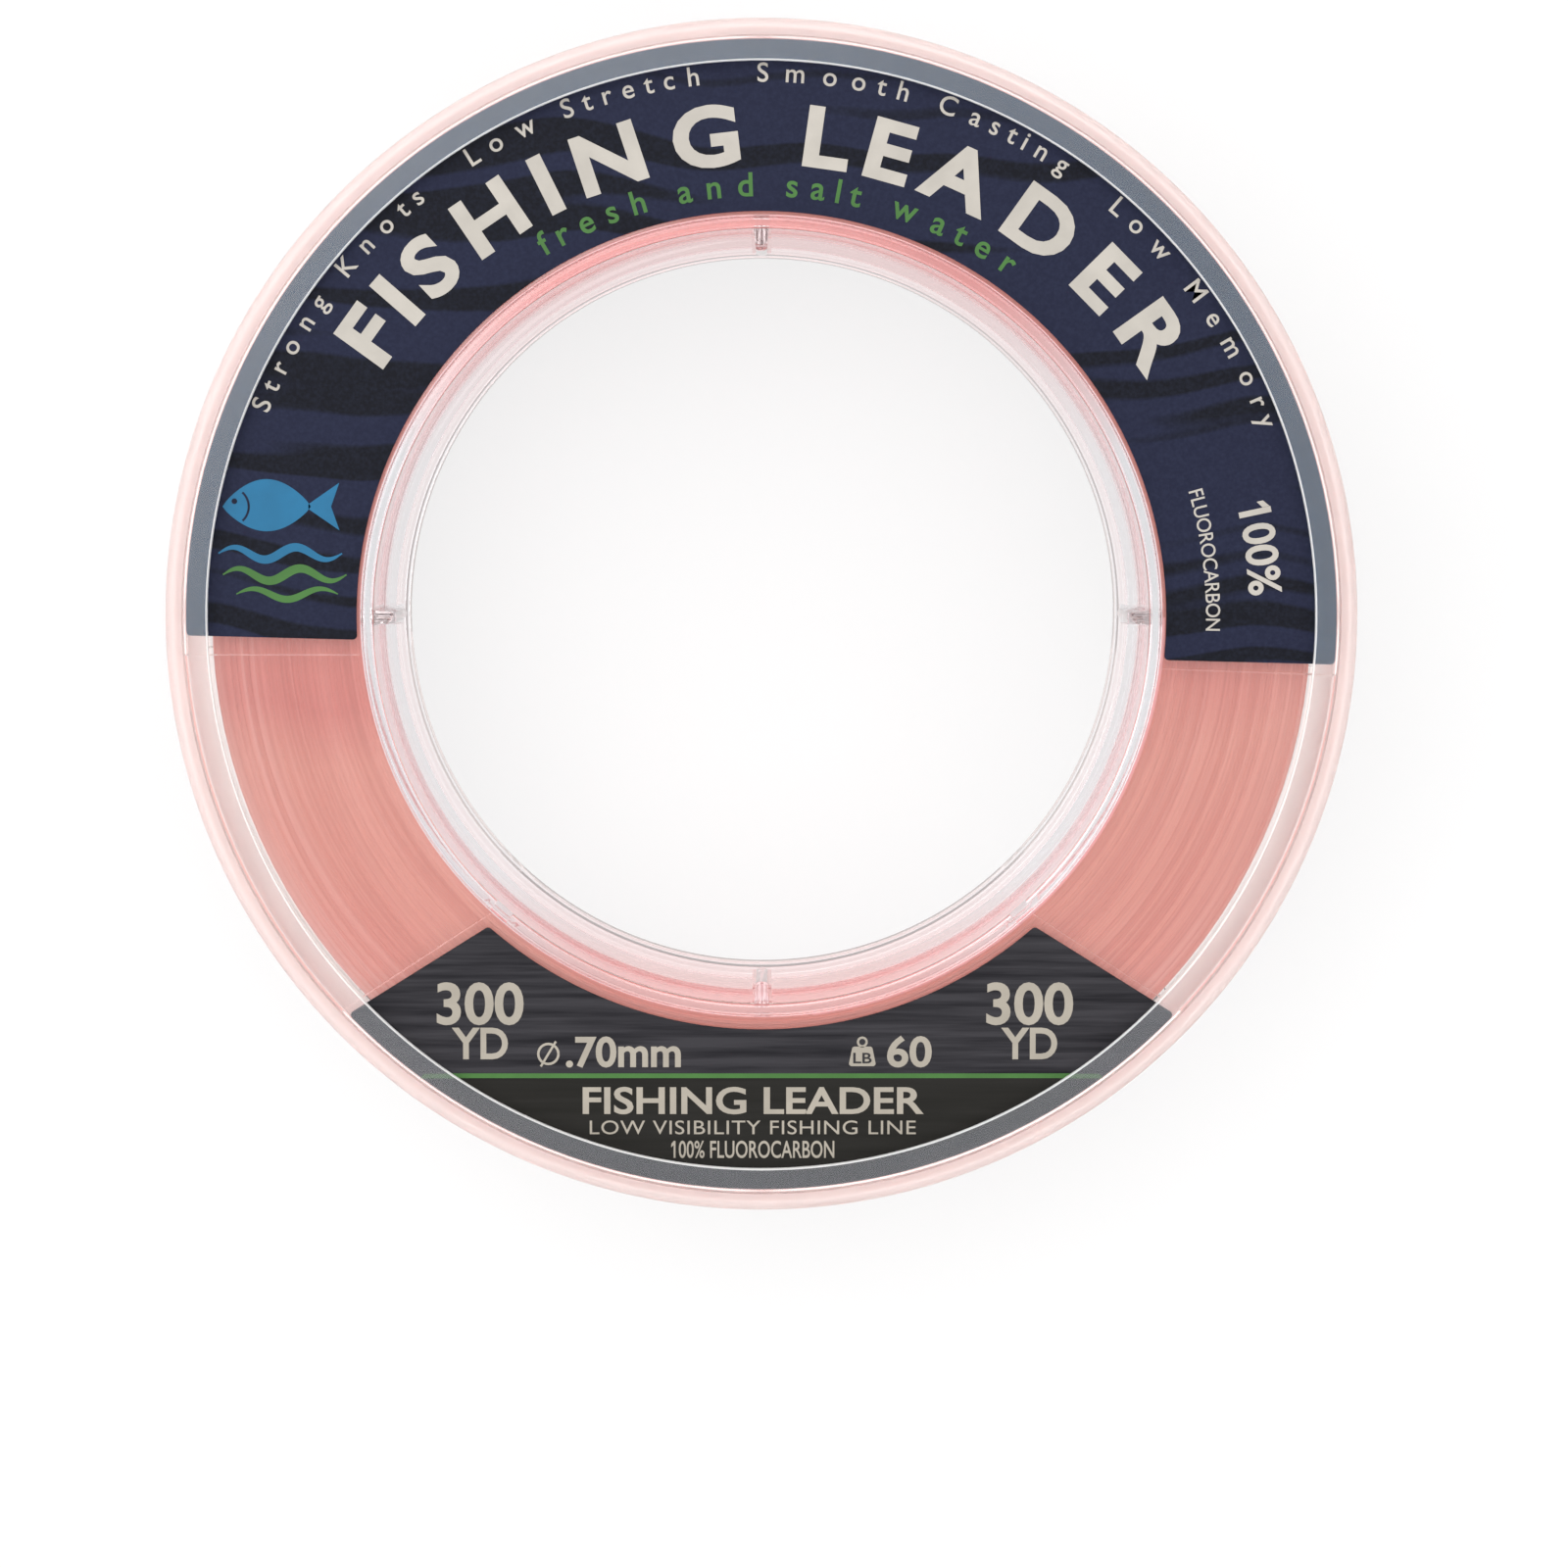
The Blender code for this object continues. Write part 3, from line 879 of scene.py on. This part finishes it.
def new_material(name, values):
    """A Principled material with constant values on the shader's own sockets."""
    material = bpy.data.materials.new(name)
    material.use_nodes = True
    shader = material.node_tree.nodes["Principled BSDF"]
    for key, value in values.items():
        shader.inputs[key].default_value = value
    return material, material.node_tree, shader


def scaled(tree, source, factors):
    """A vector with its parts multiplied by the factors."""
    made = node(tree, "ShaderNodeVectorMath", {1: factors}, operation="MULTIPLY")
    link(tree, source, made.inputs[0])
    return made.outputs[0]


def combined(tree, kind, operation, first, second):
    """Two outputs put together by a Math or VectorMath node."""
    made = node(tree, kind, operation=operation)
    link(tree, first, made.inputs[0])
    link(tree, second, made.inputs[1])
    return made.outputs[0]


def mapped(tree, source, low, high, to_low=0.0, to_high=1.0):
    """A value, with its range from low to high stretched to another one and cut off there."""
    made = node(tree, "ShaderNodeMapRange", {
        "From Min": low,
        "From Max": high,
        "To Min": to_low,
        "To Max": to_high,
    })
    link(tree, source, made.inputs["Value"])
    return made.outputs["Result"]


def mixed(tree, factor, first, second, blend="MIX"):
    """Two colours mixed. The factor and either colour may be an output or a constant."""
    made = node(tree, "ShaderNodeMix", data_type="RGBA", blend_type=blend)
    for key, part in (("Factor", factor), ("A", first), ("B", second)):
        if isinstance(part, bpy.types.NodeSocket):
            link(tree, part, made.inputs[key])
        else:
            made.inputs[key].default_value = part
    return made.outputs["Result"]


def place(tree, scale=(1.0, 1.0, 1.0)):
    """Object coordinates, scaled."""
    where = node(tree, "ShaderNodeTexCoord")
    mapping = node(tree, "ShaderNodeMapping", {"Scale": scale})
    link(tree, where.outputs["Object"], mapping.inputs["Vector"])
    return mapping.outputs["Vector"]


def height_of(tree):
    """The Y coordinate: up, on the labels."""
    where = node(tree, "ShaderNodeTexCoord")
    parts = node(tree, "ShaderNodeSeparateXYZ")
    link(tree, where.outputs["Object"], parts.inputs[0])
    return parts.outputs["Y"]


def radius_of(tree):
    """The distance from the Z axis, and the direction in the XY plane."""
    where = node(tree, "ShaderNodeTexCoord")
    flat = scaled(tree, where.outputs["Object"], (1.0, 1.0, 0.0))
    length = node(tree, "ShaderNodeVectorMath", operation="LENGTH")
    link(tree, flat, length.inputs[0])
    unit = node(tree, "ShaderNodeVectorMath", operation="NORMALIZE")
    link(tree, flat, unit.inputs[0])
    return length.outputs["Value"], unit.outputs[0]


def around(tree, radial, turning, axial):
    """Coordinates for rings: they change fast across the radius and the height, slowly round the axis."""
    radius, direction = radius_of(tree)
    along = scaled(tree, direction, (turning, turning, 0.0))
    where = node(tree, "ShaderNodeTexCoord")
    rise = scaled(tree, where.outputs["Object"], (0.0, 0.0, axial))
    out = node(tree, "ShaderNodeMath", {1: radial}, operation="MULTIPLY")
    link(tree, radius, out.inputs[0])
    across = node(tree, "ShaderNodeCombineXYZ")
    link(tree, out.outputs[0], across.inputs["Z"])
    swept = combined(tree, "ShaderNodeVectorMath", "ADD", along, rise)
    return combined(tree, "ShaderNodeVectorMath", "ADD", swept, across.outputs[0])


def beyond(tree, start, end, low, high):
    """A value that goes from low to high between two radii."""
    radius, _ = radius_of(tree)
    return mapped(tree, radius, start, end, low, high)


def grain(tree, where, scale, detail=2.0, rough=0.5):
    """A noise value between 0 and 1."""
    texture = node(tree, "ShaderNodeTexNoise", {"Scale": scale, "Detail": detail, "Roughness": rough})
    link(tree, where, texture.inputs["Vector"])
    return texture.outputs["Fac"]


def ramp(tree, source, stops):
    """A colour ramp of (position, colour) stops. A single number makes a grey."""
    made = node(tree, "ShaderNodeValToRGB")
    elements = made.color_ramp.elements
    while len(elements) < len(stops):
        elements.new(1.0)
    for element, (position, colour) in zip(elements, stops):
        element.position = position
        rgb = colour if isinstance(colour, tuple) else (colour,) * 3
        element.color = (*rgb, 1.0)
    link(tree, source, made.inputs["Fac"])
    return made.outputs["Color"]


def bump(tree, shader, height, strength, distance):
    """Roughens the shader's normal by a height value."""
    made = node(tree, "ShaderNodeBump", {"Strength": strength, "Distance": distance})
    link(tree, height, made.inputs["Height"])
    link(tree, made.outputs["Normal"], shader.inputs["Normal"])


def styrene(name, bottom, middle, top, values):
    """Clear, glossy polystyrene with faint flow ripples.

    The collar and bore take a painted pink glow of the line at the bottom and top, beside the labels.
    """
    material, tree, shader = new_material(name, {
        "Transmission Weight": 1.0,
        "IOR": 1.57,
        **values,
    })
    fine = grain(tree, place(tree), 700.0)
    link(tree, ramp(tree, fine, [(0.35, 0.01), (0.7, 0.04)]), shader.inputs["Roughness"])
    ripple = grain(tree, around(tree, 260.0, 2.0, 60.0), 1.0, 2.0)
    bump(tree, shader, ripple, 0.04, 0.05 * MM)
    # Painted glow: the line's pink, tinted in by height inside the collar's edge.
    up = mapped(tree, height_of(tree), -BORE, BORE)
    tint = ramp(tree, up, [(0.02, bottom), (0.16, middle), (0.7, middle), (0.93, top)])
    flange = beyond(tree, COLLAR, RECESS_HOLE, 0.0, 1.0)
    link(tree, mixed(tree, flange, tint, (*STYRENE, 1.0)), shader.inputs["Base Color"])
    return material


def clear_styrene():
    """The flanges and collars, with a painted pink glow at the bottom and the top."""
    return styrene("clear_styrene", (0.97, 0.76, 0.75), STYRENE, (0.97, 0.64, 0.63), {})


def sleeve_styrene():
    """The bore's wall, with a painted pink glow and a pink tint at the bottom, for the line behind it."""
    return styrene("sleeve_styrene", (1.0, 0.82, 0.81), STYRENE, STYRENE, {
        "Emission Color": (1.0, 0.1, 0.1, 1.0),
        "Emission Strength": 0.02,
    })


def margin_styrene():
    """The flanges' margins beyond the line, with a painted warm glow for what the frosted cover scatters
    into them.
    """
    return styrene("margin_styrene", STYRENE, STYRENE, STYRENE, {
        "Emission Color": (1.0, 0.88, 0.8, 1.0),
        "Emission Strength": 0.12,
    })


def key_styrene():
    """The keys, thicker than the wall, tinted darker as painted shade and pink at the bottom as painted
    glow.
    """
    return styrene("key_styrene", (0.76, 0.5, 0.52), (0.42, 0.36, 0.365), (0.34, 0.28, 0.285), {})


def frosted(name, rough, values):
    """Milky polyethylene with a fine satin grain."""
    material, tree, shader = new_material(name, {"IOR": 1.48, **values})
    where = place(tree)
    satin = ramp(tree, grain(tree, where, 90.0), [(0.3, rough), (0.7, rough + 0.06)])
    link(tree, satin, shader.inputs["Roughness"])
    bump(tree, shader, grain(tree, where, 2600.0), 0.015, 0.05 * MM)
    return material


def frosted_skirt():
    """The skirt and its rounded corner: thick, so it scatters more and looks paler, with a faint painted
    pink glow.
    """
    return frosted("frosted_skirt", 0.4, {
        "Base Color": (1.0, 0.905, 0.885, 1.0),
        "Transmission Weight": 0.8,
        "Emission Color": (1.0, 0.7, 0.66, 1.0),
        "Emission Strength": 0.02,
    })


def frosted_lip():
    """The thin lip, with a bluish haze over anything dark."""
    return frosted("frosted_lip", 0.2, {
        "Base Color": (1.0, 0.935, 0.905, 1.0),
        "Transmission Weight": 0.975,
        "Sheen Weight": 0.18,
        "Sheen Roughness": 0.7,
        "Sheen Tint": (0.4, 0.68, 1.0, 1.0),
    })


def painted_bright_edge():
    """The lip's inner edge, dull and painted lighter than the rest as a highlight."""
    material, tree, shader = new_material("frosted_edge", {
        "Base Color": (0.9, 0.89, 0.88, 1.0),
        "Transmission Weight": 0.5,
        "IOR": 1.48,
    })
    scuffs = grain(tree, around(tree, 300.0, 60.0, 300.0), 1.0)
    link(tree, ramp(tree, scuffs, [(0.35, 0.4), (0.65, 0.6)]), shader.inputs["Roughness"])
    return material


def strand_tone(tree):
    """Fine rings of lighter and darker strand."""
    return grain(tree, around(tree, 1050.0, 0.5, 1050.0), 1.0, 3.0, 0.75)


def pink_fluorocarbon():
    """Glossy pink strand with a painted glow, painted shade that makes it redder near the upper label, and
    painted highlight streaks at the outside.
    """
    material, tree, shader = new_material("pink_fluorocarbon", {
        "Roughness": 0.3,
        "Specular IOR Level": 0.3,
        # Painted glow, for light that the strand carries through itself.
        "Emission Color": (1.0, 0.4, 0.34, 1.0),
        "Emission Strength": 0.21,
    })
    drift = mapped(tree, grain(tree, place(tree), 45.0, 1.0), 0.3, 0.7, -5.0 * MM, 5.0 * MM)
    height = combined(tree, "ShaderNodeMath", "ADD", height_of(tree), drift)
    # Painted shade: darker and redder just below the upper label, and a little towards the lower one.
    below = mapped(tree, height, 0.0, -50.0 * MM)
    dark = ramp(tree, below, [
        (0.14, (0.47, 0.112, 0.092)),
        (0.3, (0.56, 0.2, 0.15)),
        (0.6, (0.56, 0.185, 0.14)),
        (0.9, (0.55, 0.15, 0.118)),
    ])
    light = ramp(tree, below, [
        (0.14, (0.58, 0.165, 0.138)),
        (0.3, (0.66, 0.28, 0.22)),
        (0.6, (0.66, 0.265, 0.205)),
        (0.9, (0.66, 0.22, 0.178)),
    ])
    strands = mixed(tree, ramp(tree, strand_tone(tree), [(0.38, 0.0), (0.62, 1.0)]), dark, light)
    # Painted highlights: paler streaks that grow towards the outer turns.
    painted_highlight_streaks = ramp(tree, grain(tree, around(tree, 1500.0, 0.9, 1500.0), 1.0, 1.0), [(0.5, 0.16), (0.7, 0.6)])
    outside = beyond(tree, 56.0 * MM, 62.0 * MM, 0.2, 1.0)
    share = combined(tree, "ShaderNodeMath", "MULTIPLY", painted_highlight_streaks, outside)
    link(tree, mixed(tree, share, strands, (0.82, 0.5, 0.46, 1.0)), shader.inputs["Base Color"])
    bump(tree, shader, grain(tree, place(tree), 1800.0), 0.05, 0.05 * MM)
    return material


def lit_fluorocarbon():
    """The innermost layer, with a painted glow for the light from the bore that shines through it."""
    material, tree, shader = new_material("lit_fluorocarbon", {
        "Roughness": 0.3,
        "Specular IOR Level": 0.3,
        "Emission Color": (1.0, 0.5, 0.5, 1.0),
        "Emission Strength": 0.42,
    })
    tone = ramp(tree, strand_tone(tree), [(0.35, (0.54, 0.18, 0.17)), (0.65, (0.66, 0.26, 0.25))])
    link(tree, tone, shader.inputs["Base Color"])
    bump(tree, shader, grain(tree, place(tree), 1800.0), 0.05, 0.05 * MM)
    return material


def navy_film():
    """Navy film printed with dark, uneven water lines, and a lighter blue ring under the lip painted as
    the lip's bluish haze.
    """
    material, tree, shader = new_material("navy_label_film", {"Specular IOR Level": 0.06})
    bend = node(tree, "ShaderNodeTexNoise", {"Scale": 1.0, "Detail": 1.0})
    link(tree, place(tree, (30.0, 12.0, 1.0)), bend.inputs["Vector"])
    offset = scaled(tree, bend.outputs["Color"], (0.0, 4.2, 0.0))
    rows = combined(tree, "ShaderNodeVectorMath", "ADD", place(tree, (14.0, 330.0, 1.0)), offset)
    lines = grain(tree, rows, 1.0, 0.0)
    fleck = grain(tree, place(tree), 2500.0, 1.0)
    base = ramp(tree, lines, [(0.4, (0.0065, 0.007, 0.0105)), (0.46, (0.0125, 0.0145, 0.0315))])
    flecks = ramp(tree, fleck, [(0.35, 0.0), (0.8, (0.004, 0.005, 0.009))])
    tint = mixed(tree, 1.0, base, flecks, "ADD")
    # Painted haze: lighter blue where the frosted lip lies over the film.
    painted_haze_ring = beyond(tree, LIP_HOLE, LIP_HOLE + 0.2 * MM, 0.0, 1.0)
    link(tree, mixed(tree, painted_haze_ring, tint, (0.014, 0.043, 0.09, 1.0)), shader.inputs["Base Color"])
    link(tree, ramp(tree, fleck, [(0.3, 0.38), (0.7, 0.5)]), shader.inputs["Roughness"])
    return material


def charcoal_film():
    """Charcoal film with long brushed streaks, nearly black below the rule."""
    material, tree, shader = new_material("charcoal_label_film", {"Specular IOR Level": 0.06})
    streaks = grain(tree, place(tree, (35.0, 900.0, 1.0)), 1.0, 4.0, 0.6)
    brushed = ramp(tree, streaks, [(0.36, (0.012, 0.0115, 0.014)), (0.62, (0.034, 0.0325, 0.037))])
    plain = ramp(tree, streaks, [(0.3, (0.0125, 0.012, 0.0105)), (0.7, (0.018, 0.017, 0.0155))])
    above = node(tree, "ShaderNodeMath", {1: RULE_Y}, operation="GREATER_THAN")
    link(tree, height_of(tree), above.inputs[0])
    link(tree, mixed(tree, above.outputs[0], plain, brushed), shader.inputs["Base Color"])
    link(tree, ramp(tree, streaks, [(0.3, 0.38), (0.7, 0.5)]), shader.inputs["Roughness"])
    return material


def ink(name, colour, spread):
    """Printing ink with a slight unevenness."""
    material, tree, shader = new_material(name, {"Roughness": 0.42, "Specular IOR Level": 0.3})
    light = tuple(min(1.0, c * (1 + spread)) for c in colour)
    deep = tuple(c * (1 - spread) for c in colour)
    tone = ramp(tree, grain(tree, place(tree), 240.0, 3.0), [(0.35, deep), (0.65, light)])
    link(tree, tone, shader.inputs["Base Color"])
    return material


def grey_tape():
    """Creped paper tape."""
    material, tree, shader = new_material("grey_tape", {})
    crepe = grain(tree, place(tree, (900.0, 900.0, 200.0)), 1.0, 2.0)
    link(tree, ramp(tree, crepe, [(0.3, 0.2), (0.7, 0.32)]), shader.inputs["Base Color"])
    link(tree, ramp(tree, crepe, [(0.3, 0.4), (0.7, 0.6)]), shader.inputs["Roughness"])
    bump(tree, shader, crepe, 0.3, 0.05 * MM)
    return material


def pale_floor():
    """A matt white floor, lit mostly from within so that it stays even."""
    material, tree, shader = new_material("pale_floor", {"Specular IOR Level": 0.0, "Roughness": 0.9})
    tone = ramp(tree, grain(tree, place(tree), 6.0), [(0.4, 0.17), (0.6, 0.19)])
    link(tree, tone, shader.inputs["Base Color"])
    shader.inputs["Emission Color"].default_value = (1.0, 1.0, 1.0, 1.0)
    shader.inputs["Emission Strength"].default_value = 0.74
    return material


# The pieces.

def settle(piece, body, node_name):
    """Puts the piece on its body, in the place of its CAD node."""
    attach(piece, body)
    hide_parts(node_name)


def make_labels():
    """The two films on each face."""
    navy, charcoal = navy_film(), charcoal_film()
    cream = ink("cream_ink", (0.36, 0.335, 0.3), 0.06)
    beige = ink("beige_ink", (0.285, 0.257, 0.215), 0.06)
    green = ink("green_ink", (0.038, 0.12, 0.024), 0.08)
    blue = ink("blue_ink", (0.005, 0.1, 0.205), 0.08)
    black = ink("black_ink", (0.014, 0.013, 0.015), 0.1)
    film_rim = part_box("front_upper_label")[1].x
    upper = band(UPPER_HOLE, film_rim, UPPER_ENDS, UPPER_FLARE, LABEL_ROUND)
    lower = band(LOWER_HOLE, film_rim, LOWER_ENDS, LOWER_FLARE, LABEL_ROUND)
    for side in ("front", "rear"):
        finishes = (navy, cream, green, blue)
        piece = make_label(side + "_upper_film", side, upper, upper_layers(), finishes)
        settle(piece, "spool", side + "_upper_label")
        finishes = (charcoal, beige, green, black)
        piece = make_label(side + "_lower_film", side, lower, lower_layers(), finishes)
        settle(piece, "spool", side + "_lower_label")


def make_object():
    """All ten pieces."""
    clear = (clear_styrene(), sleeve_styrene(), margin_styrene(), key_styrene())
    cover = (frosted_skirt(), frosted_lip(), painted_bright_edge())
    line = (pink_fluorocarbon(), lit_fluorocarbon())
    settle(make_front_ring(cover), "front_cover", "cover_front_ring")
    settle(make_rear_ring(cover), "rear_cover", "cover_rear_ring")
    settle(make_front_half(clear), "spool", "spool_front_half")
    settle(make_rear_half(clear), "spool", "spool_rear_half")
    settle(make_line(line), "spool", "line_winding")
    settle(make_tape(grey_tape()), "spool", "tag_end_tape")
    make_labels()


# Stage.

def make_floor():
    """The surface that the spool lies on."""
    bm = bmesh.new()
    bmesh.ops.create_grid(bm, x_segments=8, y_segments=8, size=FLOOR_SIZE)
    floor = new_piece("floor", bm, [pale_floor()], smooth=False)
    floor.location.z = -FLOOR_GAP


def make_light():
    """An even white studio, dimmer straight overhead, and one large soft lamp."""
    world = bpy.data.worlds.new("studio")
    world.use_nodes = True
    tree = world.node_tree
    where = node(tree, "ShaderNodeTexCoord")
    parts = node(tree, "ShaderNodeSeparateXYZ")
    link(tree, where.outputs["Generated"], parts.inputs[0])
    strength = mapped(tree, parts.outputs["Z"], 0.9, 0.985, 1.45, 0.75)
    link(tree, strength, tree.nodes["Background"].inputs["Strength"])
    tree.nodes["Background"].inputs["Color"].default_value = (1.0, 1.0, 1.0, 1.0)
    bpy.context.scene.world = world
    lamp = bpy.data.lights.new("softbox", "AREA")
    lamp.shape = "DISK"
    lamp.size = SOFTBOX_SIZE
    lamp.energy = SOFTBOX_POWER
    box = bpy.data.objects.new("softbox", lamp)
    box.location = SOFTBOX_PLACE
    box.rotation_euler = Vector(box.location).to_track_quat("Z", "Y").to_euler()
    bpy.context.scene.collection.objects.link(box)
    scene = bpy.context.scene
    scene.view_settings.view_transform = "Standard"
    scene.cycles.max_bounces = 24
    scene.cycles.glossy_bounces = 16
    scene.cycles.transmission_bounces = 24


def make_camera():
    """Looks down on the front face from 0.58 m, a little from the top of the labels."""
    data = bpy.data.cameras.new("camera")
    data.sensor_width = SENSOR
    data.lens = LENS
    camera = bpy.data.objects.new("camera", data)
    camera.location = (CAMERA_SIDE, CAMERA_UP, WIDTH + CAMERA_HEIGHT)
    camera.rotation_euler = (math.radians(CAMERA_TILT), 0.0, 0.0)
    bpy.context.scene.collection.objects.link(camera)
    bpy.context.scene.camera = camera


make_camera()
make_light()
make_floor()
make_object()
